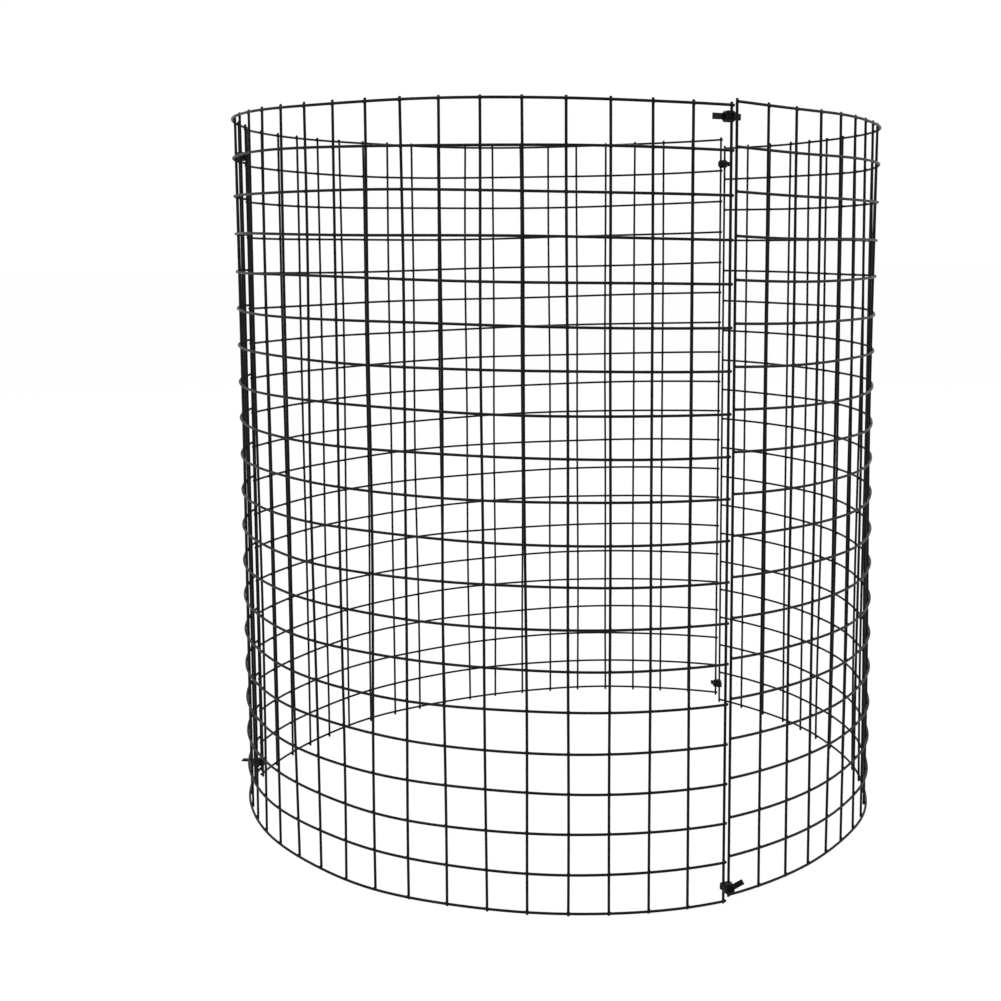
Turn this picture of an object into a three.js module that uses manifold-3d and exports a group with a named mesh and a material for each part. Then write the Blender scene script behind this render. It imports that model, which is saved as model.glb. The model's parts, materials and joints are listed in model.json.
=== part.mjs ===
// Plant protection cage: three panels of welded square mesh, each sprung into an arc, are laced edge
// to edge with cable ties into an open ring that stands on its wire ends. The two right-hand seams
// work as hinges and the left seam is the one that opens. Lengths are in millimetres, +Z is up, and
// the front of the cage faces -Y.
import * as THREE from 'three';
import { mergeVertices } from 'three/addons/utils/BufferGeometryUtils.js';
import Module from 'manifold-3d';

const wasm = await Module();
wasm.setup();

// Wire and mesh
const CELL = 25.4;
const CELLS_ACROSS = 19;
const CELLS_HIGH = 19;
const WIRE_RADIUS = 0.8;
const WIRE_SIDES = 6;
const UPRIGHT_OVERHANG = 2.0;
const HOOP_OVERHANG = 1.3;
const WELD_DEPTH = 0.25;
const CLEARANCE = 0.3;
const CELLS_PER_BEND = 2;

// Uprights that are welded into the grid's own solid: the two edges and the middle one
const WELDED_UPRIGHTS = [0, Math.floor(CELLS_ACROSS / 2), CELLS_ACROSS];

// How the panels stand. They are laced a little out of level: each starts a step above the end of the
// one before, so that the hoops pass between one another at the seams, and runs down to stand on the
// ground at its own end. A bend is the whole turn of a panel's arc.
const LEFT_STEP = 5.2;
const FRONT_RIGHT_STEP = 3.0;
const REAR_RIGHT_STEP = 5.1;
const PANELS = [
  { name: 'front_panel', bendDeg: 114, step: LEFT_STEP },
  { name: 'right_panel', bendDeg: 100, step: FRONT_RIGHT_STEP },
  { name: 'back_panel', bendDeg: 96, step: REAR_RIGHT_STEP },
];
const RING_TURN_DEG = -34;
const EDGE_SPACING = 3.5;

// The top ties draw the ring in, so that it narrows evenly to the top, by this share of its width
const TOP_NARROWING_SHARE = 0.025;

// Cable tie
const STRAP_WIDTH = 3.6;
const STRAP_THICKNESS = 1.1;
const HEAD_LENGTH = 6.8;
const HEAD_HEIGHT = 6.4;
const HEAD_DEPTH = 4.2;
const HEAD_CHAMFER = 1.2;
const HEAD_SINK = 0.5;
const TAIL_LENGTH = 6.4;
const TAIL_SINK = 1.0;
const LOOP_SEGMENTS = 6;
const CUT_OVERRUN = 1.0;

// A tie sits in from the end hoop of its seam, at the top or at the foot, by a share of a cell. The
// head is shifted along the strap by a share of its length, and the tail, a share of the usual one,
// leaves it to side +1 (the way round the ring) or -1, raised by a tilt and turned outwards by a
// splay. A seam is numbered by the panel that ends there.
const TIES = [
  {
    name: 'tie_front_right_top', seam: 0, top: true, insetShare: 0.23,
    shiftShare: -0.5, side: -1, tailShare: 0.95, tiltDeg: 0, splayDeg: 12,
  },
  {
    name: 'tie_front_right_bottom', seam: 0, top: false, insetShare: 0.37,
    shiftShare: -0.08, side: 1, tailShare: 1.1, tiltDeg: 29, splayDeg: 15,
  },
  {
    name: 'tie_rear_right_top', seam: 1, top: true, insetShare: 0.5,
    shiftShare: 0.25, side: -1, tailShare: 0.95, tiltDeg: 8, splayDeg: 10,
  },
  {
    name: 'tie_rear_right_bottom', seam: 1, top: false, insetShare: 0.42,
    shiftShare: 0.15, side: 1, tailShare: 0.95, tiltDeg: -8, splayDeg: 12,
  },
  {
    name: 'tie_left_top', seam: 2, top: true, insetShare: 0.58,
    shiftShare: 0.15, side: 1, tailShare: 0.95, tiltDeg: -20, splayDeg: 10,
  },
  {
    name: 'tie_left_bottom', seam: 2, top: false, insetShare: 0.42,
    shiftShare: 0.1, side: -1, tailShare: 1.4, tiltDeg: 5, splayDeg: 75,
  },
];
const OPENING_SEAM = 2;

// Sizes that follow from the ones above
const WIRE_APOTHEM = WIRE_RADIUS * Math.cos(Math.PI / WIRE_SIDES);
const WELDED_SETBACK = WIRE_RADIUS + WIRE_APOTHEM - WELD_DEPTH;
const FREE_SETBACK = WIRE_RADIUS + WIRE_APOTHEM + CLEARANCE;
const PANEL_WIDTH = CELLS_ACROSS * CELL;
const PANEL_HEIGHT = CELLS_HIGH * CELL + 2 * UPRIGHT_OVERHANG;
const LOOP_INNER_RADIUS = WIRE_RADIUS + CLEARANCE;
const LOOP_OUTER_RADIUS = LOOP_INNER_RADIUS + STRAP_THICKNESS;

const coatedWire = new THREE.MeshStandardMaterial({ color: 0x17181a, roughness: 0.42, metalness: 0.35 });
const blackNylon = new THREE.MeshStandardMaterial({ color: 0x101011, roughness: 0.6, metalness: 0 });

// Turns a three.js geometry into a closed solid that can be joined and cut.
function toSolid(geometry) {
  const bare = geometry.clone();
  bare.deleteAttribute('normal');
  bare.deleteAttribute('uv');
  const merged = mergeVertices(bare);
  return new wasm.Manifold(new wasm.Mesh({
    numProp: 3,
    vertProperties: Float32Array.from(merged.attributes.position.array),
    triVerts: Uint32Array.from(merged.index.array),
  }));
}

function toGeometry(solid) {
  const mesh = solid.getMesh();
  const geometry = new THREE.BufferGeometry();
  geometry.setAttribute('position', new THREE.BufferAttribute(mesh.vertProperties, 3));
  geometry.setIndex(new THREE.BufferAttribute(mesh.triVerts, 1));
  geometry.computeVertexNormals();
  return geometry;
}

function join(solids) {
  return solids.reduce((whole, solid) => whole.add(solid));
}

// The section of a wire. Unturned, it has a flat on each side along Y.
function wireSection(turn = 0) {
  const corners = Array.from({ length: WIRE_SIDES }, (_, i) => {
    const angle = (i / WIRE_SIDES) * 2 * Math.PI + turn;
    return new THREE.Vector2(Math.cos(angle), Math.sin(angle)).multiplyScalar(WIRE_RADIUS);
  });
  return new THREE.Shape(corners);
}

// A hoop's centre line: straight runs between the bends, with a section placed at each bend.
class BentLine extends THREE.Curve {
  constructor(points) {
    super();
    this.points = points;
  }

  getUtoTmapping(u) {
    return u;
  }

  getPoint(t, target = new THREE.Vector3()) {
    const runs = this.points.length - 1;
    const run = Math.min(Math.floor(Math.max(t, 0) * runs), runs - 1);
    return target.lerpVectors(this.points[run], this.points[run + 1], t * runs - run);
  }
}

// The plan of a panel: a run from the first edge along +X that turns left at every bend. Bends fall
// midway between uprights, so each upright lies against a straight run.
class PanelPlan {
  constructor({ bendDeg, step }) {
    this.step = step;
    this.bends = [];
    for (let cell = 1; cell < CELLS_ACROSS - 1; cell += CELLS_PER_BEND) {
      this.bends.push((cell + 0.5) * CELL);
    }
    this.turn = THREE.MathUtils.degToRad(bendDeg) / this.bends.length;
  }

  // The point and heading on the hoops' centre line at a distance from the first edge upright.
  at(distance) {
    const point = new THREE.Vector2();
    let heading = 0;
    let from = 0;
    for (const bend of this.bends.filter((place) => place < distance)) {
      point.add(new THREE.Vector2(bend - from, 0).rotateAround(new THREE.Vector2(), heading));
      heading += this.turn;
      from = bend;
    }
    point.add(new THREE.Vector2(distance - from, 0).rotateAround(new THREE.Vector2(), heading));
    return { point, heading };
  }

  // An upright stands inside the hoops, set back from their centre line.
  upright(index) {
    const { point, heading } = this.at(index * CELL);
    const setback = WELDED_UPRIGHTS.includes(index) ? WELDED_SETBACK : FREE_SETBACK;
    const inward = new THREE.Vector2(0, setback).rotateAround(new THREE.Vector2(), heading);
    return { point: point.add(inward), heading };
  }

  hoopLine() {
    const places = [-HOOP_OVERHANG, ...this.bends, PANEL_WIDTH + HOOP_OVERHANG];
    return new BentLine(places.map((place) => {
      const { point } = this.at(place);
      return new THREE.Vector3(point.x, point.y, 0);
    }));
  }

  get firstEdge() {
    return this.upright(0).point;
  }

  get lastEdge() {
    return this.upright(CELLS_ACROSS).point;
  }

  get chord() {
    return this.lastEdge.clone().sub(this.firstEdge);
  }

  // How much the foot of the panel rises for each unit of length along X and along Y.
  get slope() {
    return this.chord.multiplyScalar(-this.step / this.chord.lengthSq());
  }

  // The height of the panel's foot above the ground: it falls evenly along the chord to the last edge.
  foot(point) {
    return point.clone().sub(this.lastEdge).dot(this.slope);
  }
}

function uprightGeometry() {
  return new THREE.ExtrudeGeometry(wireSection(), { depth: PANEL_HEIGHT, bevelEnabled: false });
}

function placeUpright(object, plan, index) {
  const { point, heading } = plan.upright(index);
  object.position.set(point.x, point.y, plan.foot(point));
  object.rotation.z = heading;
  object.updateMatrix();
  return object;
}

// The lowest hoop of a panel, drawn level and then set on the panel's slope. It is flat above and
// below, and an edge of its section meets the flat of each upright.
function hoopGeometry(plan) {
  const line = plan.hoopLine();
  const along = { steps: line.points.length - 1, extrudePath: line };
  const hoop = new THREE.ExtrudeGeometry(wireSection(Math.PI / WIRE_SIDES), along);
  hoop.applyMatrix4(new THREE.Matrix4().makeShear(0, plan.slope.x, 0, plan.slope.y, 0, 0));
  return hoop.translate(0, 0, plan.foot(new THREE.Vector2()));
}

// All the hoops of a panel, welded to its edge and middle uprights, as one solid.
function gridGeometry(plan) {
  const hoop = hoopGeometry(plan);
  const hoops = Array.from({ length: CELLS_HIGH + 1 }, (_, row) => (
    toSolid(hoop.clone().translate(0, 0, UPRIGHT_OVERHANG + row * CELL))
  ));
  const uprights = WELDED_UPRIGHTS.map((index) => {
    const place = placeUpright(new THREE.Object3D(), plan, index);
    return toSolid(uprightGeometry().applyMatrix4(place.matrix));
  });
  return toGeometry(join([...uprights, ...hoops]));
}

function makePanel(name, plan) {
  const panel = new THREE.Group();
  const grid = new THREE.Mesh(gridGeometry(plan), coatedWire);
  grid.name = `${name}_grid`;
  panel.add(grid);
  for (let index = 0; index <= CELLS_ACROSS; index += 1) {
    if (!WELDED_UPRIGHTS.includes(index)) {
      const upright = placeUpright(new THREE.Mesh(uprightGeometry(), coatedWire), plan, index);
      upright.name = `${name}_upright_${String(index).padStart(2, '0')}`;
      panel.add(upright);
    }
  }
  return panel;
}

// The seams' corners: a triangle whose sides are the panels' chords, each lengthened at both ends so
// that neighbouring edge uprights stand EDGE_SPACING apart. Returns the corners where panels start.
function solveCorners(chords) {
  let setbacks = chords.map(() => EDGE_SPACING);
  let sides = [];
  for (let pass = 0; pass < 6; pass += 1) {
    sides = chords.map((chord, i) => chord + setbacks[(i + 2) % 3] + setbacks[i]);
    setbacks = sides.map((side, i) => {
      const next = sides[(i + 1) % 3];
      const far = sides[(i + 2) % 3];
      const corner = Math.acos((side ** 2 + next ** 2 - far ** 2) / (2 * side * next));
      return EDGE_SPACING / (2 * Math.sin(corner / 2));
    });
  }
  const [front, right, back] = sides;
  const leftCorner = Math.acos((front ** 2 + back ** 2 - right ** 2) / (2 * front * back));
  const corners = [
    new THREE.Vector2(0, 0),
    new THREE.Vector2(front, 0),
    new THREE.Vector2(back, 0).rotateAround(new THREE.Vector2(), leftCorner),
  ];
  return { corners, setbacks };
}

// Stands a panel with its edge uprights on the side from one corner to the next.
function standPanel(panel, plan, start, end, startSetback) {
  const along = end.clone().sub(start).normalize();
  const turn = along.angle() - plan.chord.angle();
  const edge = start.clone().addScaledVector(along, startSetback);
  const offset = plan.firstEdge.clone().rotateAround(new THREE.Vector2(), turn);
  panel.position.x = edge.x - offset.x;
  panel.position.y = edge.y - offset.y;
  panel.rotation.z = turn;
}

// A loop with round ends, drawn round both edge uprights of a seam.
function loopOutline(radius) {
  const outline = new THREE.Shape();
  const half = EDGE_SPACING / 2;
  outline.absarc(half, 0, radius, -Math.PI / 2, Math.PI / 2, false);
  outline.absarc(-half, 0, radius, Math.PI / 2, 1.5 * Math.PI, false);
  outline.closePath();
  return outline;
}

function strapLoop() {
  const outline = loopOutline(LOOP_OUTER_RADIUS);
  outline.holes.push(loopOutline(LOOP_INNER_RADIUS));
  const loop = new THREE.ExtrudeGeometry(outline, {
    depth: STRAP_WIDTH, bevelEnabled: false, curveSegments: LOOP_SEGMENTS,
  });
  return toSolid(loop.translate(0, 0, -STRAP_WIDTH / 2));
}

// The lock block of the tie, with its corners cut off, on the outer side of the loop.
function tieHead(shiftShare) {
  const x = HEAD_LENGTH / 2;
  const z = HEAD_HEIGHT / 2;
  const c = HEAD_CHAMFER;
  const face = new THREE.Shape([
    new THREE.Vector2(-x + c, -z), new THREE.Vector2(x - c, -z), new THREE.Vector2(x, -z + c),
    new THREE.Vector2(x, z - c), new THREE.Vector2(x - c, z), new THREE.Vector2(-x + c, z),
    new THREE.Vector2(-x, z - c), new THREE.Vector2(-x, -z + c),
  ]);
  const block = new THREE.ExtrudeGeometry(face, { depth: HEAD_DEPTH, bevelEnabled: false });
  block.rotateX(Math.PI / 2);
  return toSolid(block.translate(shiftShare * HEAD_LENGTH, HEAD_SINK - LOOP_OUTER_RADIUS, 0));
}

// The cut end of the strap, which leaves the head on one side.
function tieTail({ shiftShare, side, tailShare, tiltDeg, splayDeg }) {
  const reach = tailShare * TAIL_LENGTH;
  const strip = new THREE.BoxGeometry(reach + TAIL_SINK, STRAP_THICKNESS, STRAP_WIDTH);
  strip.translate((reach - TAIL_SINK) / 2, 0, 0);
  strip.rotateY(-THREE.MathUtils.degToRad(tiltDeg));
  strip.rotateZ(-THREE.MathUtils.degToRad(splayDeg));
  if (side < 0) {
    strip.rotateX(Math.PI).rotateZ(Math.PI);
  }
  const middle = HEAD_SINK - LOOP_OUTER_RADIUS - HEAD_DEPTH / 2;
  return toSolid(strip.translate((shiftShare + side / 2) * HEAD_LENGTH, middle, 0));
}

// On the seam that opens, the loop stops level with the upright that leaves it.
function openLoop(loop) {
  const reach = 2 * LOOP_OUTER_RADIUS + CUT_OVERRUN;
  const cutter = new THREE.BoxGeometry(reach, reach, reach);
  cutter.translate(-EDGE_SPACING / 2 - reach / 2, 0, 0);
  return loop.subtract(toSolid(cutter));
}

function makeTie(tie) {
  const loop = tie.seam === OPENING_SEAM ? openLoop(strapLoop()) : strapLoop();
  const whole = join([loop, tieHead(tie.shiftShare), tieTail(tie)]);
  const mesh = new THREE.Mesh(toGeometry(whole), blackNylon);
  mesh.name = tie.name;
  const inset = UPRIGHT_OVERHANG + tie.insetShare * CELL;
  mesh.position.z = tie.top ? PANEL_HEIGHT - inset : inset;
  return mesh;
}

// The ties of a seam share a frame, midway between its two edge uprights, with X from the upright of
// the panel that ends there to that of the panel that starts.
function makeSeam(number, corner, before, after, setback) {
  const edge = (far) => far.clone().sub(corner).setLength(setback).add(corner);
  const across = edge(after).sub(edge(before));
  const seam = new THREE.Group();
  seam.position.copy(new THREE.Vector3(...edge(before).addScaledVector(across, 0.5), 0));
  seam.rotation.z = across.angle();
  TIES.filter((tie) => tie.seam === number).forEach((tie) => seam.add(makeTie(tie)));
  return seam;
}

function makeCage() {
  const ring = new THREE.Group();
  const plans = PANELS.map((spec) => new PanelPlan(spec));
  const { corners, setbacks } = solveCorners(plans.map((plan) => plan.chord.length()));
  PANELS.forEach(({ name }, i) => {
    const next = (i + 1) % PANELS.length;
    const panel = makePanel(name, plans[i]);
    standPanel(panel, plans[i], corners[i], corners[next], setbacks[(i + 2) % PANELS.length]);
    ring.add(panel);
    ring.add(makeSeam(i, corners[next], corners[i], corners[(i + 2) % PANELS.length], setbacks[i]));
  });
  ring.rotation.z = THREE.MathUtils.degToRad(RING_TURN_DEG);
  return ring;
}

// Puts the middle of an object's outline on the origin's upright axis.
function centre(object) {
  object.updateMatrixWorld(true);
  const middle = new THREE.Box3().setFromObject(object, true).getCenter(new THREE.Vector3());
  object.position.x -= middle.x;
  object.position.y -= middle.y;
  object.updateMatrixWorld(true);
  return object;
}

// Draws every solid of the centred ring in towards the origin's upright axis, more the higher it is.
function narrowToTop(ring) {
  const narrowed = new THREE.Group();
  const point = new THREE.Vector3();
  ring.traverse((object) => {
    if (!object.isMesh) {
      return;
    }
    const geometry = object.geometry.applyMatrix4(object.matrixWorld);
    const places = geometry.attributes.position;
    for (let i = 0; i < places.count; i += 1) {
      point.fromBufferAttribute(places, i);
      const width = 1 - TOP_NARROWING_SHARE * (point.z / PANEL_HEIGHT);
      places.setXY(i, point.x * width, point.y * width);
    }
    geometry.computeVertexNormals();
    const solid = new THREE.Mesh(geometry, object.material);
    solid.name = object.name;
    narrowed.add(solid);
  });
  return narrowed;
}

// The origin is on the ground, under the middle of the cage's outline.
const cage = centre(narrowToTop(centre(makeCage())));

export default cage;
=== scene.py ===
"""Plant protection cage: three panels of black coated wire mesh, laced into a ring with cable ties.

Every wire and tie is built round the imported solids. All lengths are in metres.
"""
import json
import logging
import math
from dataclasses import dataclass, field
from enum import Enum
from typing import Any

import bmesh
import bpy
import numpy as np
from mathutils import Matrix, Vector

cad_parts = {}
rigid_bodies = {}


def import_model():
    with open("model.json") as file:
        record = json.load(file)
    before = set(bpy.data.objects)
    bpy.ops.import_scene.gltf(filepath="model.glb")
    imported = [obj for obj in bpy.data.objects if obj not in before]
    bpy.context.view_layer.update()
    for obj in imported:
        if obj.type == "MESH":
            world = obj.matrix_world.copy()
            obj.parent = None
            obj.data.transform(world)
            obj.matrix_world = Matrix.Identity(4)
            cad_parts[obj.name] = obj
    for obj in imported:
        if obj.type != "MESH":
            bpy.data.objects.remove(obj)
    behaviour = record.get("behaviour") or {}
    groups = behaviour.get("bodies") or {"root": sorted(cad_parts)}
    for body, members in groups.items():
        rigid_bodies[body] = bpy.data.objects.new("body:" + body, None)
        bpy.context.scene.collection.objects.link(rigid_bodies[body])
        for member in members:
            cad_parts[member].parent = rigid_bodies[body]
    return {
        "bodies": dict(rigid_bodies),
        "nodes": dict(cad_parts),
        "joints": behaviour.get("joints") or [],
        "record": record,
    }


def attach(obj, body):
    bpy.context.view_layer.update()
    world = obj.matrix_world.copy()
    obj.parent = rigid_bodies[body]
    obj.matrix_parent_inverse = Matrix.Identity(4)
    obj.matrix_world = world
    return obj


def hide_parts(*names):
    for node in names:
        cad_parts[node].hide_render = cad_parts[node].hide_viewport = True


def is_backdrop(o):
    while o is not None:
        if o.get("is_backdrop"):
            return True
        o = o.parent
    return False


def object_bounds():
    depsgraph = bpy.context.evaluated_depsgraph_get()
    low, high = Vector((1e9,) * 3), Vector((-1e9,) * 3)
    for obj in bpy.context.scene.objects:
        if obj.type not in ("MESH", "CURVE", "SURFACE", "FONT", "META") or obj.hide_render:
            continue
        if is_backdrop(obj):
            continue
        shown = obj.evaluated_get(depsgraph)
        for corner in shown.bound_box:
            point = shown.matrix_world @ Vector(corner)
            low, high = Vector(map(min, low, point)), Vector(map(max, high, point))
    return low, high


Frame = dict[str, Any]
Socket = bpy.types.NodeSocket
Triple = tuple[float, float, float]
Section = list[tuple[float, float]]

LOG = logging.getLogger("plant_cage")
UP = Vector((0.0, 0.0, 1.0))
WHITE = (1.0, 1.0, 1.0, 1.0)
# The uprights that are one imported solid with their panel's hoops
WELDED_UPRIGHTS = (0, 9, 19)
# Places that agree to this many decimals are the same
POINT_DECIMALS = 6
# The bevel profile of a quarter circle
ROUND_PROFILE = 0.5


class Panel(Enum):
    """The panels, in their order round the ring, anticlockwise from above."""

    FRONT = "front"
    RIGHT = "right"
    BACK = "back"

    @property
    def grid_node(self) -> str:
        """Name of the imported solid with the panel's hoops and welded uprights."""
        return f"{self.value}_panel_grid"

    def upright_node(self, index: int) -> str:
        """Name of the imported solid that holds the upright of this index."""
        return self.grid_node if index in WELDED_UPRIGHTS else f"{self.value}_panel_upright_{index:02d}"


class Seam(Enum):
    """The seams, each with the panel that ends there and the panel that starts there."""

    FRONT_RIGHT = (Panel.FRONT, Panel.RIGHT)
    REAR_RIGHT = (Panel.RIGHT, Panel.BACK)
    LEFT = (Panel.BACK, Panel.FRONT)

    @property
    def before(self) -> Panel:
        """The panel that ends at the seam."""
        return self.value[0]

    @property
    def after(self) -> Panel:
        """The panel that starts at the seam."""
        return self.value[1]


class Side(Enum):
    """Which way a tie's tail points, seen from outside: the way round the ring or against it."""

    ONWARD = 1
    BACKWARD = -1


# Finishes


class NodeBook:
    """Adds and links the nodes of one material or world."""

    NOISE_ROUGHNESS = 0.55
    # Nearly all values of a noise texture lie between these two
    NOISE_LOW, NOISE_HIGH = 0.3, 0.7
    # Numbers of the Mix node's colour sockets, whose names its other sockets share
    MIX_DARK, MIX_PALE, MIX_RESULT = 6, 7, 2

    def __init__(self, owner: bpy.types.ID) -> None:
        """Starts an empty node tree.

        Args:
            owner: The material or world that the nodes are for.
        """
        owner.use_nodes = True
        self.owner = owner
        self.tree = owner.node_tree
        self.tree.nodes.clear()

    def add(self, kind: str, **values: object) -> bpy.types.Node:
        """Adds a node and sets its inputs or properties.

        Args:
            kind: The node's type name.
            **values: Inputs by name with spaces as underscores, or properties of the node.

        Returns:
            The new node.
        """
        node = self.tree.nodes.new(kind)
        for name, value in values.items():
            socket = node.inputs.get(name.replace("_", " "))
            if socket is not None:
                socket.default_value = value
            else:
                setattr(node, name, value)
        return node

    def link(self, output: Socket, target: Socket) -> None:
        """Joins an output to an input."""
        self.tree.links.new(output, target)

    def noise(self, scale: float, detail: float, stretch: Triple = (1.0, 1.0, 1.0)) -> Socket:
        """Adds noise that is fixed to the piece.

        Args:
            scale: Repeats per metre.
            detail: Octaves of the noise.
            stretch: How much finer it is along each axis.

        Returns:
            The noise's factor.
        """
        place = self.add("ShaderNodeTexCoord")
        mapping = self.add("ShaderNodeMapping", Scale=stretch)
        noise = self.add("ShaderNodeTexNoise", Scale=scale, Detail=detail, Roughness=self.NOISE_ROUGHNESS)
        self.link(place.outputs["Object"], mapping.inputs["Vector"])
        self.link(mapping.outputs["Vector"], noise.inputs["Vector"])
        return noise.outputs["Fac"]

    def spread(self, factor: Socket, low: float, high: float) -> Socket:
        """Spreads a noise factor over a range of values.

        Args:
            factor: The noise's output.
            low: Value where the noise is low.
            high: Value where the noise is high.

        Returns:
            The value's output.
        """
        node = self.add(
            "ShaderNodeMapRange", From_Min=self.NOISE_LOW, From_Max=self.NOISE_HIGH, To_Min=low, To_Max=high
        )
        self.link(factor, node.inputs["Value"])
        return node.outputs["Result"]

    def tint(self, factor: Socket, dark: Triple, pale: Triple) -> Socket:
        """Mixes two colours by a factor.

        Args:
            factor: How much of the pale colour shows.
            dark: The colour at 0.
            pale: The colour at 1.

        Returns:
            The colour's output.
        """
        mix = self.add("ShaderNodeMix", data_type="RGBA")
        mix.inputs[self.MIX_DARK].default_value = (*dark, 1.0)
        mix.inputs[self.MIX_PALE].default_value = (*pale, 1.0)
        self.link(factor, mix.inputs["Factor"])
        return mix.outputs[self.MIX_RESULT]

    def blend(self, share: Socket, first: bpy.types.Node, second: bpy.types.Node) -> bpy.types.Node:
        """Blends two shaders.

        Args:
            share: How much of the second shader shows.
            first: The shader at 0.
            second: The shader at 1.

        Returns:
            The blend's node.
        """
        mix = self.add("ShaderNodeMixShader")
        for output, target in zip((share, first.outputs[0], second.outputs[0]), mix.inputs):
            self.link(output, target)
        return mix

    def close(self, shader: bpy.types.Node, kind: str = "ShaderNodeOutputMaterial") -> None:
        """Sends the last shader to an output node of this kind."""
        self.link(shader.outputs[0], self.add(kind).inputs["Surface"])


@dataclass(frozen=True)
class BlackFinish:
    """A black skin with paler patches, a sheen that changes with them, and a fine grain."""

    name: str
    dark: Triple
    pale: Triple
    ior: float
    sheen_level: float
    dark_roughness: float
    pale_roughness: float
    patch_per_m: float
    grain_per_m: float
    grain_height: float
    grain_strength: float
    patch_stretch: Triple = (1.0, 1.0, 1.0)
    patch_detail: float = 3.0
    grain_detail: float = 2.0

    def make(self) -> bpy.types.Material:
        """Makes the material.

        Returns:
            The finished material.
        """
        book = NodeBook(bpy.data.materials.new(self.name))
        patches = book.noise(self.patch_per_m, self.patch_detail, self.patch_stretch)
        grain = book.noise(self.grain_per_m, self.grain_detail)
        skin = book.add(
            "ShaderNodeBsdfPrincipled", IOR=self.ior, Metallic=0.0, Specular_IOR_Level=self.sheen_level
        )
        colour = book.tint(book.spread(patches, 0.0, 1.0), self.dark, self.pale)
        book.link(colour, skin.inputs["Base Color"])
        roughness = book.spread(patches, self.dark_roughness, self.pale_roughness)
        book.link(roughness, skin.inputs["Roughness"])
        bump = book.add("ShaderNodeBump", Strength=self.grain_strength, Distance=self.grain_height)
        book.link(grain, bump.inputs["Height"])
        book.link(bump.outputs["Normal"], skin.inputs["Normal"])
        book.close(skin)
        return book.owner


@dataclass(frozen=True)
class CoatedWire(BlackFinish):
    """Black satin coat over steel wire: an even film with a faint orange peel and paler dusty spots."""

    name: str = "coated_wire_finish"
    dark: Triple = (0.0016, 0.0016, 0.0018)
    pale: Triple = (0.0048, 0.0048, 0.0051)
    ior: float = 1.5
    sheen_level: float = 0.08
    dark_roughness: float = 0.5
    pale_roughness: float = 0.34
    patch_per_m: float = 60.0
    grain_per_m: float = 900.0
    grain_height: float = 0.00005
    grain_strength: float = 0.35


@dataclass(frozen=True)
class BlackNylon(BlackFinish):
    """Moulded black nylon: a little softer in its sheen than the wire, with faint flow marks."""

    name: str = "black_nylon_finish"
    dark: Triple = (0.001, 0.001, 0.0011)
    pale: Triple = (0.0027, 0.0027, 0.003)
    ior: float = 1.53
    sheen_level: float = 0.07
    dark_roughness: float = 0.34
    pale_roughness: float = 0.5
    patch_per_m: float = 420.0
    grain_per_m: float = 5200.0
    grain_height: float = 0.00003
    grain_strength: float = 0.3
    patch_stretch: Triple = (1.0, 1.0, 3.0)


@dataclass(frozen=True)
class WhiteGround:
    """A white ground that the camera sees as paper white and that still holds a soft shadow."""

    colour: Triple = (0.9, 0.9, 0.9)
    own_light_share: float = 0.95

    def make(self) -> bpy.types.Material:
        """Makes the ground's material.

        Returns:
            The finished material.
        """
        book = NodeBook(bpy.data.materials.new("white_ground"))
        matt = book.add("ShaderNodeBsdfDiffuse", Color=(*self.colour, 1.0))
        glow = book.add("ShaderNodeEmission", Color=WHITE, Strength=1.0)
        rays = book.add("ShaderNodeLightPath")
        seen = book.add("ShaderNodeMath", operation="MAXIMUM")
        book.link(rays.outputs["Is Camera Ray"], seen.inputs[0])
        book.link(rays.outputs["Is Glossy Ray"], seen.inputs[1])
        share = book.add("ShaderNodeMath", operation="MULTIPLY")
        share.inputs[1].default_value = self.own_light_share
        book.link(seen.outputs[0], share.inputs[0])
        book.close(book.blend(share.outputs[0], matt, glow))
        return book.owner


# Meshes


class Shell:
    """Collects the points and faces of one piece."""

    def __init__(self) -> None:
        """Starts with nothing."""
        self.points: list[Vector] = []
        self.faces: list[tuple[int, ...]] = []
        self.flat: set[int] = set()

    def ring(self, points: list[Vector]) -> list[int]:
        """Adds a ring of points.

        Args:
            points: The ring, in order.

        Returns:
            The points' numbers.
        """
        start = len(self.points)
        self.points.extend(points)
        return list(range(start, start + len(points)))

    def bridge(self, low: list[int], high: list[int]) -> None:
        """Joins two rings of the same length with quads.

        Args:
            low: The first ring's point numbers.
            high: The second ring's point numbers.
        """
        count = len(low)
        for i in range(count):
            j = (i + 1) % count
            self.faces.append((low[i], low[j], high[j], high[i]))

    def cap(self, ring: list[int], facing_back: bool) -> None:
        """Closes a ring with one flat face.

        Args:
            ring: The ring's point numbers.
            facing_back: True at the start of a tube, where the face looks back.
        """
        self.flat.add(len(self.faces))
        self.faces.append(tuple(reversed(ring)) if facing_back else tuple(ring))

    def tube(self, rings: list[list[Vector]], closed: bool = False) -> None:
        """Adds a tube through rings of points.

        Args:
            rings: The rings, in order along the tube.
            closed: True where the last ring joins the first.
        """
        numbers = [self.ring(points) for points in rings]
        for low, high in zip(numbers, numbers[1:]):
            self.bridge(low, high)
        if closed:
            self.bridge(numbers[-1], numbers[0])
        else:
            self.cap(numbers[0], True)
            self.cap(numbers[-1], False)

    def piece(self, name: str, material: bpy.types.Material, smooth: bool = True) -> bpy.types.Object:
        """Makes the object.

        Args:
            name: The piece's name.
            material: Its finish.
            smooth: True to shade its sides smooth.

        Returns:
            The object, in the scene.
        """
        mesh = bpy.data.meshes.new(name)
        mesh.from_pydata([tuple(p) for p in self.points], [], self.faces)
        for number, face in enumerate(mesh.polygons):
            face.use_smooth = smooth and number not in self.flat
        mesh.materials.append(material)
        mesh.update()
        made = bpy.data.objects.new(name, mesh)
        bpy.context.scene.collection.objects.link(made)
        return made


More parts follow.
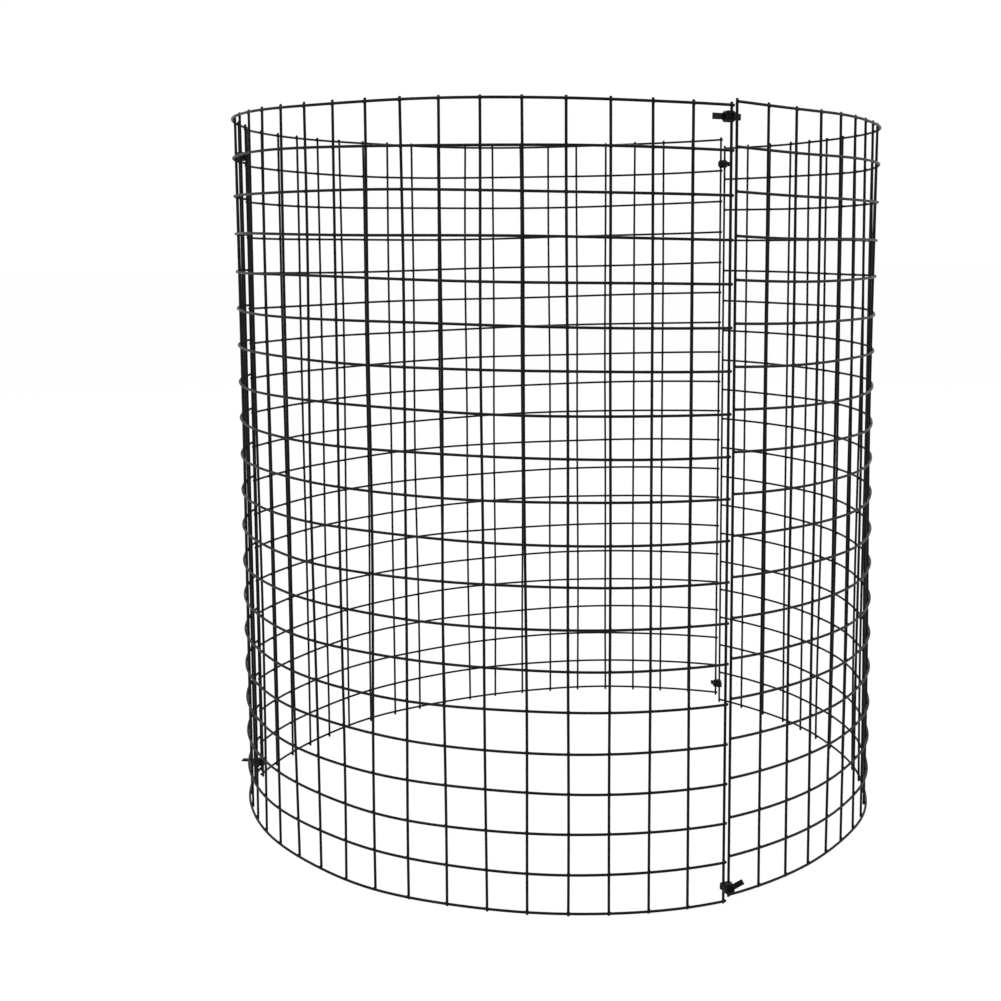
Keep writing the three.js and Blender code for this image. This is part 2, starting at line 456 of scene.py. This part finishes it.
def circle(sides: int, radius: float = 1.0) -> Section:
    """The corners of a regular section of this radius."""
    angles = [math.tau * i / sides for i in range(sides)]
    return [(radius * math.cos(angle), radius * math.sin(angle)) for angle in angles]


def place_ring(
    centre: Vector, across: Vector, along: Vector, section: Section, wide: float = 1.0, high: float = 1.0
) -> list[Vector]:
    """Sets a section in space.

    Args:
        centre: The section's middle.
        across: Unit direction of its first axis.
        along: Unit direction of its second axis.
        section: The section's corners.
        wide: Scale on the first axis.
        high: Scale on the second axis.

    Returns:
        The ring's points.
    """
    return [centre + across * (x * wide) + along * (y * high) for x, y in section]


def sideways(out: Vector) -> Vector:
    """The level direction along the ring, anticlockwise from above, for a direction out of it."""
    return Vector((-out.y, out.x, 0.0))


def ease(share: float) -> float:
    """Eases a share from 0 to 1, with a soft start and a soft end."""
    return share**2 * (3 - 2 * share)


# The panels


def ends_of(node: bpy.types.Object) -> tuple[Vector, Vector]:
    """Measures a packed upright.

    Args:
        node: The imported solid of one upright.

    Returns:
        The middle of its foot and of its top.
    """
    corners = {tuple(round(c, POINT_DECIMALS) for c in v.co) for v in node.data.vertices}
    middle = sum(c[2] for c in corners) / len(corners)
    foot = [Vector(c) for c in corners if c[2] < middle]
    top = [Vector(c) for c in corners if c[2] >= middle]
    return sum(foot, Vector()) / len(foot), sum(top, Vector()) / len(top)


@dataclass(frozen=True)
class Arc:
    """A level arc in plan."""

    centre: Vector
    radius: float

    @classmethod
    def through(cls, places: list[Vector]) -> "Arc":
        """Fits an arc through places.

        Args:
            places: Three or more points of the arc.

        Returns:
            The arc.
        """
        rows = np.array([[2 * p.x, 2 * p.y, 1.0] for p in places])
        sums = np.array([p.x**2 + p.y**2 for p in places])
        x, y, rest = np.linalg.lstsq(rows, sums, rcond=None)[0]
        return cls(Vector((x, y, 0.0)), math.sqrt(rest + x * x + y * y))


@dataclass(frozen=True)
class Lift:
    """How far a hand-set mesh stands above its even panel: at its first edge, middle and last edge.

    The climb lifts the first cells, whose hoops pass the neighbour's ends as the seam opens.
    """

    first: float
    middle: float
    last: float
    climb: float = 0.0
    climb_cells: float = 3.0

    def at(self, place: float, cells: int) -> float:
        """How far the mesh stands above the even panel, on a parabola through the three heights.

        Args:
            place: Where, in cells from the panel's first edge.
            cells: How many cells the panel has across.

        Returns:
            The height.
        """
        across = place / cells
        edges = self.first * (1 - across) * (1 - 2 * across) + self.last * across * (2 * across - 1)
        climb = self.climb * max(1 - place / self.climb_cells, 0.0) ** 2
        return edges + 4 * self.middle * across * (1 - across) + climb


FOOT_LIFTS = {
    Panel.FRONT: Lift(0.0008, 0.002, 0.0),
    Panel.RIGHT: Lift(0.0006, 0.0006, 0.0),
    Panel.BACK: Lift(0.001, 0.0, 0.0),
}
TOP_LIFTS = {
    Panel.FRONT: Lift(0.0008, 0.0017, -0.0012),
    Panel.RIGHT: Lift(-0.0043, -0.0039, -0.0011, climb=0.0022),
    Panel.BACK: Lift(0.001, -0.0006, 0.0045),
}


@dataclass(frozen=True)
class Wave:
    """One wave of the mesh's unevenness: its turns across the panel and upwards, phase and share."""

    across: float
    up: float
    phase: float = 0.0
    share: float = 1.0

    def at(self, across: float, up: float, turn: float = 0.0) -> float:
        """The wave's value at a place of the panel, moved on by the panel's own turn."""
        return self.share * math.sin(math.tau * (self.across * across + self.up * up) + self.phase * turn)


@dataclass(frozen=True)
class WeldBead:
    """The bead where a hoop is welded to an upright: a flattened drop with squarish sides."""

    reach: float = 0.00125
    depth: float = 0.0006
    sides: int = 8
    squareness: int = 3
    levels: tuple[float, ...] = (-0.92, -0.5, 0.0, 0.5, 0.92)

    def add(self, shell: Shell, centre: Vector, out: Vector) -> None:
        """Adds the bead.

        Args:
            shell: The hoop's shell.
            centre: The bead's middle.
            out: The level direction out of the cage.
        """
        corners = []
        for x, y in circle(self.sides):
            squarer = (abs(x) ** self.squareness + abs(y) ** self.squareness) ** (-1 / self.squareness)
            corners.append((x * squarer, y * squarer))
        side = sideways(out)
        rings = []
        for level in self.levels:
            reach = self.reach * math.sqrt(1 - level**2)
            rings.append(place_ring(centre + out * (level * self.depth), side, UP, corners, reach, reach))
        shell.tube(rings)


@dataclass
class MeshPanel:
    """A panel of welded square mesh, sprung into an arc: hoops outside, uprights inside.

    The setbacks say how far outside the separate packed uprights the hoops and the edge uprights stand.
    A crop section has its share of the crop's length from the tip, and the wire's width and depth there.
    Upwards, the waves of bulge and drift count panels and the wave of sway counts hoops.
    """

    panel: Panel
    frame: Frame
    cell: float = 0.0254
    cells: int = 19
    wire_radius: float = 0.00085
    sides: int = 12
    overhang: float = 0.002
    stub: float = 0.0013
    hoop_setback: float = 0.001793
    edge_setback: float = 0.000545
    weld_sink: float = 0.00015
    bead: WeldBead = WeldBead()
    steps_per_cell: int = 3
    tangent_step: float = 0.01
    crop_length: float = 0.0006
    crop_sections: tuple[Triple, ...] = ((0.0, 0.86, 0.35), (0.25, 0.97, 0.55), (1.0, 1.0, 1.0))
    bulge: float = 0.0011
    bulge_waves: tuple[Wave, ...] = (Wave(2.2, 0.7, 1), Wave(4.3, -1.3, 2, 0.6))
    drift: float = 0.0009
    drift_waves: tuple[Wave, ...] = (Wave(3.1, -0.6, 3), Wave(6.4, 1.9, 1, 0.5))
    waves_reach: float = 1.5
    panel_turn: float = 2.1
    sway: float = 0.0005
    sway_wave: Wave = Wave(1.7, 0.37)
    foot_arc: Arc = field(init=False)
    top_arc: Arc = field(init=False)
    first_angle: float = field(init=False)
    step_angle: float = field(init=False)
    lie: np.ndarray = field(init=False)
    height: float = field(init=False)

    def __post_init__(self) -> None:
        """Reads the panel's arc, lean and lie from its separate packed uprights."""
        nodes = self.frame["nodes"]
        kept = [i for i in range(self.cells + 1) if i not in WELDED_UPRIGHTS]
        ends = [ends_of(nodes[self.panel.upright_node(i)]) for i in kept]
        feet = [foot for foot, _ in ends]
        self.foot_arc = Arc.through(feet)
        self.top_arc = Arc.through([top for _, top in ends])
        angles = np.unwrap([math.atan2(*(p - self.foot_arc.centre).yx) for p in feet])
        self.step_angle, self.first_angle = (float(v) for v in np.polyfit(kept, angles, 1))
        rows = np.array([[p.x, p.y, 1.0] for p in feet])
        self.lie = np.linalg.lstsq(rows, np.array([p.z for p in feet]), rcond=None)[0]
        self.height = sum((top - foot).z for foot, top in ends) / len(ends)

    def outward(self, place: float) -> Vector:
        """The level direction out of the cage, at a place in cells from the panel's first edge."""
        angle = self.first_angle + self.step_angle * place
        return Vector((math.cos(angle), math.sin(angle), 0.0))

    def line(self, place: float, setback: float) -> tuple[Vector, Vector]:
        """The line from foot to top that the wires cross at one place of the arc.

        Args:
            place: Where, in cells from the panel's first edge.
            setback: How far outside the separate packed uprights the line stands.

        Returns:
            The line's foot and top.
        """
        out = self.outward(place)
        base = self.foot_arc.centre + out * self.foot_arc.radius
        foot = self.foot_arc.centre + out * (self.foot_arc.radius + setback)
        top = self.top_arc.centre + out * (self.top_arc.radius + setback)
        foot.z = float(self.lie @ (base.x, base.y, 1.0))
        top.z = foot.z + self.height
        return foot, top

    def upright_setback(self, index: int) -> float:
        """How far outside the separate packed uprights an upright stands.

        Args:
            index: The upright's number from the panel's first edge.

        Returns:
            The setback: on the seam's hinge line at an edge, and just into the hoops elsewhere.
        """
        if index in (0, self.cells):
            return self.edge_setback
        return self.hoop_setback - 2 * self.wire_radius + self.weld_sink

    def hoop_share(self, row: int) -> float:
        """Where a hoop crosses the uprights, as a share of their height."""
        return (self.overhang + row * self.cell) / self.height

    def freedom(self, place: float) -> float:
        """How freely the mesh bulges, drifts and sways here: 0 at the seams, 1 in the middle."""
        return max(math.sin(math.pi * (place / self.cells)), 0.0)

    def stray(self, place: float, level: float) -> Vector:
        """How far the hand-bent mesh strays from its even arc, at the seams only up or down.

        Args:
            place: Where, in cells from the panel's first edge.
            level: How high, in cells from the lowest hoop.

        Returns:
            The way from the even arc.
        """
        across, up = place / self.cells, level / self.cells
        turn = self.panel_turn * list(Panel).index(self.panel)
        bulge = self.bulge * sum(wave.at(across, up, turn) for wave in self.bulge_waves)
        drift = self.drift * sum(wave.at(across, up, turn) for wave in self.drift_waves)
        out = self.outward(place)
        level_way = (out * bulge + sideways(out) * drift) * (self.freedom(place) / self.waves_reach)
        foot_lift = FOOT_LIFTS[self.panel].at(place, self.cells)
        top_lift = TOP_LIFTS[self.panel].at(place, self.cells)
        return level_way + UP * (foot_lift + (top_lift - foot_lift) * up)

    def hoop_point(self, row: int, place: float) -> Vector:
        """A point of a hoop's centre line.

        Args:
            row: The hoop's number from the foot.
            place: Where, in cells from the panel's first edge.

        Returns:
            The point.
        """
        foot, top = self.line(place, self.hoop_setback)
        rise = self.sway * self.freedom(place) * self.sway_wave.at(place / self.cells, row)
        return foot.lerp(top, self.hoop_share(row)) + self.stray(place, row) + UP * rise

    def upright_at(self, index: int, height: float) -> Vector:
        """The point of an upright's centre line at a height above the ground."""
        foot, top = self.line(index, self.upright_setback(index))
        return foot.lerp(top, (height - foot.z) / (top.z - foot.z))

    def stations(self, start: float, end: float, crop: float, inner: list[float]) -> list[Triple]:
        """Where sections stand along a wire, with its two cropped ends.

        Args:
            start: The place of one tip.
            end: The place of the other tip.
            crop: The crop's length, in the unit of the places.
            inner: The places of the whole sections in between.

        Returns:
            Place, width and depth of each section.
        """
        tips = [(share * crop, wide, deep) for share, wide, deep in self.crop_sections]
        first = [(start + at, wide, deep) for at, wide, deep in tips]
        last = [(end - at, wide, deep) for at, wide, deep in reversed(tips)]
        return first + [(at, 1.0, 1.0) for at in inner] + last

    def build_upright(self, index: int, finish: bpy.types.Material) -> bpy.types.Object:
        """Builds one upright with its two cropped ends.

        Args:
            index: The upright's number from the panel's first edge.
            finish: The wire's material.

        Returns:
            The piece.
        """
        foot, top = self.line(index, self.upright_setback(index))
        length = (top - foot).length
        way = (top - foot).normalized()
        across = way.cross(self.outward(index)).normalized()
        out = across.cross(way)
        section = circle(self.sides, self.wire_radius)
        welds = [self.hoop_share(row) * length for row in range(self.cells + 1)]
        rings = []
        for at, wide, deep in self.stations(0.0, length, self.crop_length, welds):
            level = (at / length * self.height - self.overhang) / self.cell
            centre = foot + way * at + self.stray(index, min(max(level, 0.0), self.cells))
            rings.append(place_ring(centre, out, across, section, deep, wide)[::-1])
        shell = Shell()
        shell.tube(rings)
        return shell.piece(f"{self.panel.value}_upright_{index:02d}", finish)

    def build_hoop(self, row: int, finish: bpy.types.Material) -> bpy.types.Object:
        """Builds one hoop with its two stubs and its weld beads.

        Args:
            row: The hoop's number from the foot.
            finish: The wire's material.

        Returns:
            The piece.
        """
        past = self.stub / self.cell
        crop = self.crop_length / self.cell
        inner = [i / self.steps_per_cell for i in range(self.cells * self.steps_per_cell + 1)]
        section = circle(self.sides, self.wire_radius)
        rings = []
        for place, wide, deep in self.stations(-past, self.cells + past, crop, inner):
            ahead = self.hoop_point(row, place + self.tangent_step)
            behind = self.hoop_point(row, place - self.tangent_step)
            way = (ahead - behind).normalized()
            up = self.outward(place).cross(way).normalized()
            rings.append(place_ring(self.hoop_point(row, place), way.cross(up), up, section, deep, wide))
        shell = Shell()
        shell.tube(rings)
        inwards = self.wire_radius - self.weld_sink / 2
        for index in range(self.cells + 1):
            out = self.outward(index)
            self.bead.add(shell, self.hoop_point(row, index) - out * inwards, out)
        return shell.piece(f"{self.panel.value}_hoop_{row:02d}", finish)

    def build(self, finish: bpy.types.Material) -> list[bpy.types.Object]:
        """Builds all the wires of the panel and sets them on its body.

        Args:
            finish: The wire's material.

        Returns:
            The pieces: the hoops, then the uprights.
        """
        pieces = []
        for row in range(self.cells + 1):
            pieces.append(self.build_hoop(row, finish))
            settle(self.frame, pieces[-1], self.panel.grid_node)
        for index in range(self.cells + 1):
            pieces.append(self.build_upright(index, finish))
            settle(self.frame, pieces[-1], self.panel.upright_node(index))
        return pieces


def settle(frame: Frame, piece: bpy.types.Object, node: str) -> None:
    """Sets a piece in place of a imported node, on the node's own body.

    Args:
        frame: The loaded frame.
        piece: The finished piece.
        node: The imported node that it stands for.
    """
    bodies = frame["record"]["behaviour"]["bodies"]
    body = next(name for name, members in bodies.items() if node in members)
    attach(piece, body)
    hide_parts(node)


# The cable ties


@dataclass(frozen=True)
class CableTie:
    """A cable tie round the edge uprights of a seam, with its lock head outside and its tail cut off.

    It is drawn in a frame of its own: X from the panel that ends at the seam to the one that starts
    there, Y into the cage, Z up. The inset counts cells from the outermost hoop, and the shift counts
    head lengths along X. The tail tilts up, splays outwards and twists on its way. A tie that opens has
    a C-shaped loop, which the panel that ends at the seam can leave.
    """

    name: str
    seam: Seam
    at_top: bool
    inset_cells: float
    shift_share: float
    side: Side
    tail_length: float
    tilt_deg: float
    splay_deg: float
    twist_deg: float = 0.0
    opens: bool = False
    strap_width: float = 0.0036
    strap_thickness: float = 0.0011
    slack: float = 0.0003
    edge_round: float = 0.00022
    edge_bend_share: float = 0.3
    rib_pitch: float = 0.0005
    rib_depth: float = 0.00016
    rib_margin: float = 0.0006
    rib_ramp: float = 1.15
    head_length: float = 0.0068
    head_height: float = 0.0064
    head_depth: float = 0.0042
    head_chamfer: float = 0.0012
    head_sink: float = 0.0005
    head_round: float = 0.00032
    head_round_steps: int = 3
    window_margin: float = 0.0012
    window_depth: float = 0.0009
    pawl_gap: float = 0.00096
    pawl_width: float = 0.00216
    pawl_profile: tuple[tuple[float, float], ...] = ((-0.9, 0.15), (-0.3, 0.35), (0.4, 0.75), (0.7, 0.8))
    tail_root: float = 0.001
    tail_bow_share: float = 0.07
    twist_share: float = 0.5

    @property
    def shift(self) -> float:
        """How far the head stands from the loop's middle, along X."""
        return self.shift_share * self.head_length

    def section(self, groove: float) -> Section:
        """The strap's section: rounded edges, and a ribbed band on its inner face.

        Args:
            groove: How deep the ribbed band lies here.

        Returns:
            The corners, as distance outwards and height.
        """
        thick, wide = self.strap_thickness / 2, self.strap_width / 2
        corner, rim = self.edge_round, self.rib_margin
        bend = self.edge_bend_share * corner
        half = [(thick, wide - corner), (thick - bend, wide - bend), (thick - corner, wide)]
        half += [(corner - thick, wide), (bend - thick, wide - bend)]
        half += [(-thick, wide - rim), (groove - thick, wide - self.rib_ramp * rim)]
        return half + [(x, -y) for x, y in reversed(half)]

    def half_turn(self, middle: float, start: float, radius: float) -> list[tuple[Vector, Vector]]:
        """The strap's middle line half round one upright, without its last point.

        Args:
            middle: Where the upright stands on X.
            start: The angle where the half turn starts.
            radius: The middle line's radius.

        Returns:
            Points and their outward directions, every half rib.
        """
        steps = round(math.pi * radius / (self.rib_pitch / 2))
        path = []
        for i in range(steps):
            angle = start + math.pi * i / steps
            out = Vector((math.cos(angle), math.sin(angle), 0))
            path.append((Vector((middle, 0, 0)) + out * radius, out))
        return path

    def loop_path(self, gap: float, wire_radius: float) -> list[tuple[Vector, Vector]]:
        """The strap's middle line round both edge uprights.

        Args:
            gap: Distance between the two uprights' centres.
            wire_radius: The wire's radius.

        Returns:
            Points and their outward directions, every half rib.
        """
        radius = wire_radius + self.slack + self.strap_thickness / 2
        half = gap / 2
        steps = round(gap / (self.rib_pitch / 2))
        outer, inner = Vector((0, -1, 0)), Vector((0, 1, 0))
        path = [(Vector((-half + gap * i / steps, -radius, 0)), outer) for i in range(steps)]
        path += self.half_turn(half, -math.pi / 2, radius)
        path += [(Vector((half - gap * i / steps, radius, 0)), inner) for i in range(steps + 1)]
        if not self.opens:
            path += self.half_turn(-half, math.pi / 2, radius)[1:]
        return path

    def add_loop(self, shell: Shell, gap: float, wire_radius: float) -> None:
        """Adds the ribbed strap round the wires.

        Args:
            shell: The tie's shell.
            gap: Distance between the two uprights' centres.
            wire_radius: The wire's radius.
        """
        rings = []
        for number, (point, out) in enumerate(self.loop_path(gap, wire_radius)):
            section = self.section(self.rib_depth * (number % 2))
            rings.append(place_ring(point, out, UP, section)[::-1])
        shell.tube(rings, closed=not self.opens)

    def add_tail(self, shell: Shell, face: float) -> None:
        """Adds the cut end of the strap, which leaves the head on one side.

        Args:
            shell: The tie's shell.
            face: How far out the loop's outer face stands.
        """
        sign = self.side.value
        tilt, splay = math.radians(self.tilt_deg), math.radians(self.splay_deg)
        level = Vector((sign * math.cos(splay), -math.sin(splay), 0))
        way = level * math.cos(tilt) + UP * (sign * math.sin(tilt))
        up = UP * (sign * math.cos(tilt)) - level * math.sin(tilt)
        out = way.cross(up)
        middle = self.head_sink - face - self.head_depth / 2
        root = Vector((self.shift + sign / 2 * self.head_length, middle, 0))
        whole = self.tail_length + self.tail_root
        steps = round(whole / (self.rib_pitch / 2))
        rings = []
        for i in range(steps + 1):
            along = whole * i / steps - self.tail_root
            share = min(max(along / self.tail_length, 0.0), 1.0)
            bow = self.tail_bow_share * self.tail_length * share**2
            twist_angle = math.radians(self.twist_deg) * ease(min(share / self.twist_share, 1.0))
            twist = Matrix.Rotation(twist_angle, 3, way)
            centre = root + way * along + out * bow
            section = self.section(self.rib_depth * (i % 2))
            rings.append(place_ring(centre, twist @ out, twist @ up, section)[::-1])
        shell.tube(rings)

    def head_mesh(self, face: float) -> bmesh.types.BMesh:
        """Builds the lock head: a block with its corners cut, rounded edges and a window for the pawl.

        Args:
            face: How far out the loop's outer face stands.

        Returns:
            The head's mesh.
        """
        x, z, cut = self.head_length / 2, self.head_height / 2, self.head_chamfer
        outline = [(cut - x, -z), (x - cut, -z), (x, cut - z), (x, z - cut)]
        outline += [(-px, -pz) for px, pz in outline]
        back = self.head_sink - face
        mesh = bmesh.new()
        inner = [mesh.verts.new((px + self.shift, back, pz)) for px, pz in outline]
        outer = [mesh.verts.new((px + self.shift, back - self.head_depth, pz)) for px, pz in outline]
        mesh.faces.new(inner[::-1])
        mesh.faces.new(outer)
        for i, corner in enumerate(inner):
            j = (i + 1) % len(inner)
            mesh.faces.new((corner, inner[j], outer[j], outer[i]))
        bmesh.ops.recalc_face_normals(mesh, faces=mesh.faces)
        bmesh.ops.bevel(
            mesh, geom=mesh.edges[:], offset=self.head_round, segments=self.head_round_steps,
            profile=ROUND_PROFILE, affect="EDGES",
        )
        front = min(
            mesh.faces, key=lambda f: (round(f.calc_center_median().y, POINT_DECIMALS), -f.calc_area())
        )
        rim = self.head_round / 2
        for inset, depth in ((self.window_margin, 0.0), (rim, rim), (rim / 2, self.window_depth)):
            bmesh.ops.inset_region(mesh, faces=[front], thickness=inset, depth=-depth)
        return mesh

    def add_pawl(self, shell: Shell, face: float) -> None:
        """Adds the pawl that shows in the head's window.

        Args:
            shell: The tie's shell.
            face: How far out the loop's outer face stands.
        """
        floor = self.head_sink - face - self.head_depth + self.window_depth + self.head_round / 2
        foot = floor + self.head_round
        reach = self.head_length / 2 - self.window_margin - self.pawl_gap
        half = self.pawl_width / 2
        rings = []
        for share, rise in self.pawl_profile:
            y = floor - rise * self.window_depth
            corners = ((foot, -half), (y, -half), (y, half), (foot, half))
            rings.append([Vector((self.shift + share * reach, *corner)) for corner in corners])
        shell.tube(rings)

    def build(self, before: MeshPanel, after: MeshPanel, finish: bpy.types.Material) -> bpy.types.Object:
        """Builds the tie where its seam's edge uprights stand at its height.

        Args:
            before: The panel that ends at the seam.
            after: The panel that starts there.
            finish: The nylon's material.

        Returns:
            The piece.
        """
        inset = before.overhang + self.inset_cells * before.cell
        height = before.height - inset if self.at_top else inset
        start = before.upright_at(before.cells, height)
        end = after.upright_at(0, height)
        face = before.wire_radius + self.slack + self.strap_thickness
        shell = Shell()
        self.add_loop(shell, (end - start).length, before.wire_radius)
        self.add_tail(shell, face)
        self.add_pawl(shell, face)
        piece = shell.piece(f"cable_tie_{self.name}", finish, smooth=False)
        whole = self.head_mesh(face)
        whole.from_mesh(piece.data)
        across = end - start
        turn = Matrix.Rotation(math.atan2(across.y, across.x), 4, "Z")
        place = Matrix.Translation((start + end) / 2) @ turn
        bmesh.ops.transform(whole, matrix=place, verts=whole.verts)
        bmesh.ops.recalc_face_normals(whole, faces=whole.faces)
        whole.to_mesh(piece.data)
        whole.free()
        return piece


TIES = (
    CableTie(
        "front_right_top", Seam.FRONT_RIGHT, at_top=True, inset_cells=0.31, shift_share=-0.9,
        side=Side.BACKWARD, tail_length=0.008, tilt_deg=0, splay_deg=4,
    ),
    CableTie(
        "front_right_bottom", Seam.FRONT_RIGHT, at_top=False, inset_cells=0.37, shift_share=-0.08,
        side=Side.ONWARD, tail_length=0.00704, tilt_deg=29, splay_deg=15,
    ),
    CableTie(
        "rear_right_top", Seam.REAR_RIGHT, at_top=True, inset_cells=0.54, shift_share=0.25,
        side=Side.BACKWARD, tail_length=0.0032, tilt_deg=8, splay_deg=10,
    ),
    CableTie(
        "rear_right_bottom", Seam.REAR_RIGHT, at_top=False, inset_cells=0.55, shift_share=0.35,
        side=Side.ONWARD, tail_length=0.0032, tilt_deg=-8, splay_deg=12,
    ),
    CableTie(
        "left_top", Seam.LEFT, at_top=True, inset_cells=0.58, shift_share=0.15,
        side=Side.ONWARD, tail_length=0.00608, tilt_deg=-20, splay_deg=10, opens=True,
    ),
    CableTie(
        "left_bottom", Seam.LEFT, at_top=False, inset_cells=0.42, shift_share=0.1,
        side=Side.BACKWARD, tail_length=0.01344, tilt_deg=3, splay_deg=72, twist_deg=80, opens=True,
    ),
)


@dataclass
class PlantCage:
    """The whole cage: its three panels and the six ties that lace them."""

    frame: Frame
    panels: dict[Panel, MeshPanel] = field(init=False)

    def __post_init__(self) -> None:
        """Reads each panel's shape."""
        self.panels = {panel: MeshPanel(panel, self.frame) for panel in Panel}

    def build(self) -> list[bpy.types.Object]:
        """Builds every wire and tie.

        Returns:
            The pieces.
        """
        wire, nylon = CoatedWire().make(), BlackNylon().make()
        pieces = []
        for panel in self.panels.values():
            pieces += panel.build(wire)
        for tie in TIES:
            pieces.append(tie.build(self.panels[tie.seam.before], self.panels[tie.seam.after], nylon))
            settle(self.frame, pieces[-1], f"tie_{tie.name}")
        return pieces


# The studio


@dataclass(frozen=True)
class SoftLamp:
    """A large soft lamp that looks at the middle of the cage."""

    name: str
    place: Triple
    size: float
    watts: float

    def make(self, target: Vector) -> None:
        """Hangs the lamp.

        Args:
            target: The point that it faces.
        """
        data = bpy.data.lights.new(self.name, "AREA")
        data.shape = "SQUARE"
        data.size = self.size
        data.energy = self.watts
        lamp = bpy.data.objects.new(self.name, data)
        bpy.context.scene.collection.objects.link(lamp)
        lamp.location = self.place
        lamp.rotation_euler = (target - Vector(self.place)).to_track_quat("-Z", "Y").to_euler()


@dataclass(frozen=True)
class Studio:
    """A white studio and the photograph's point of view."""

    camera_place: Triple = (-0.0142, -1.0819, 0.4068)
    yaw_deg: float = 1.207
    pitch_deg: float = 9.803
    roll_deg: float = 0.497
    lens: float = 53.57
    sensor: float = 36.0
    clip_start: float = 0.01
    clip_end: float = 100.0
    ground_size: float = 40.0
    sky: float = 0.85
    lamps: tuple[SoftLamp, ...] = (
        SoftLamp("lamp_over_left", (-1.6, -1.5, 2.4), 1.6, 55.0),
        SoftLamp("lamp_right", (2.2, -0.6, 1.4), 1.4, 24.0),
        SoftLamp("lamp_behind", (0.3, 2.2, 2.0), 1.6, 30.0),
    )

    def make_camera(self) -> None:
        """Sets the camera where the photograph was taken from."""
        yaw, pitch, roll = (math.radians(a) for a in (self.yaw_deg, self.pitch_deg, self.roll_deg))
        right = Vector((math.cos(yaw), math.sin(yaw), 0.0))
        up = Vector((-math.sin(yaw) * math.sin(pitch), math.cos(yaw) * math.sin(pitch), math.cos(pitch)))
        rolled_right = right * math.cos(roll) - up * math.sin(roll)
        rolled_up = right * math.sin(roll) + up * math.cos(roll)
        back = rolled_right.cross(rolled_up)
        data = bpy.data.cameras.new("camera")
        data.lens = self.lens
        data.sensor_width = self.sensor
        data.clip_start, data.clip_end = self.clip_start, self.clip_end
        camera = bpy.data.objects.new("camera", data)
        bpy.context.scene.collection.objects.link(camera)
        turn = Matrix((rolled_right, rolled_up, back)).transposed().to_4x4()
        camera.matrix_world = Matrix.Translation(self.camera_place) @ turn
        bpy.context.scene.camera = camera

    def make_ground(self) -> None:
        """Lays the white ground under the cage."""
        half = self.ground_size / 2
        corners = ((-half, -half), (half, -half), (half, half), (-half, half))
        shell = Shell()
        shell.cap(shell.ring([Vector((x, y, 0.0)) for x, y in corners]), False)
        shell.piece("ground", WhiteGround().make())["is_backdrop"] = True

    def make_sky(self) -> None:
        """Gives the world an even light, and plain white to the camera."""
        world = bpy.data.worlds.new("white_room")
        bpy.context.scene.world = world
        book = NodeBook(world)
        light = book.add("ShaderNodeBackground", Color=WHITE, Strength=self.sky)
        seen = book.add("ShaderNodeBackground", Color=WHITE, Strength=1.0)
        rays = book.add("ShaderNodeLightPath")
        book.close(book.blend(rays.outputs["Is Camera Ray"], light, seen), "ShaderNodeOutputWorld")

    def build(self, target: Vector) -> None:
        """Builds the camera, the ground, the sky and the lamps.

        Args:
            target: The middle of the cage.
        """
        self.make_camera()
        self.make_ground()
        self.make_sky()
        for lamp in self.lamps:
            lamp.make(target)
        bpy.context.scene.view_settings.view_transform = "Standard"


def main() -> None:
    """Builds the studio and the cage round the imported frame, and reports each piece."""
    logging.basicConfig(level=logging.INFO, format="%(name)s: %(message)s")
    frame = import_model()
    low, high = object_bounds()
    studio = Studio()
    studio.build((low + high) / 2)
    LOG.info("studio: camera, ground, sky and %d lamps", len(studio.lamps))
    for piece in PlantCage(frame).build():
        LOG.info("%s: %d faces", piece.name, len(piece.data.polygons))
    low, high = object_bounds()


if __name__ == "__main__":
    main()
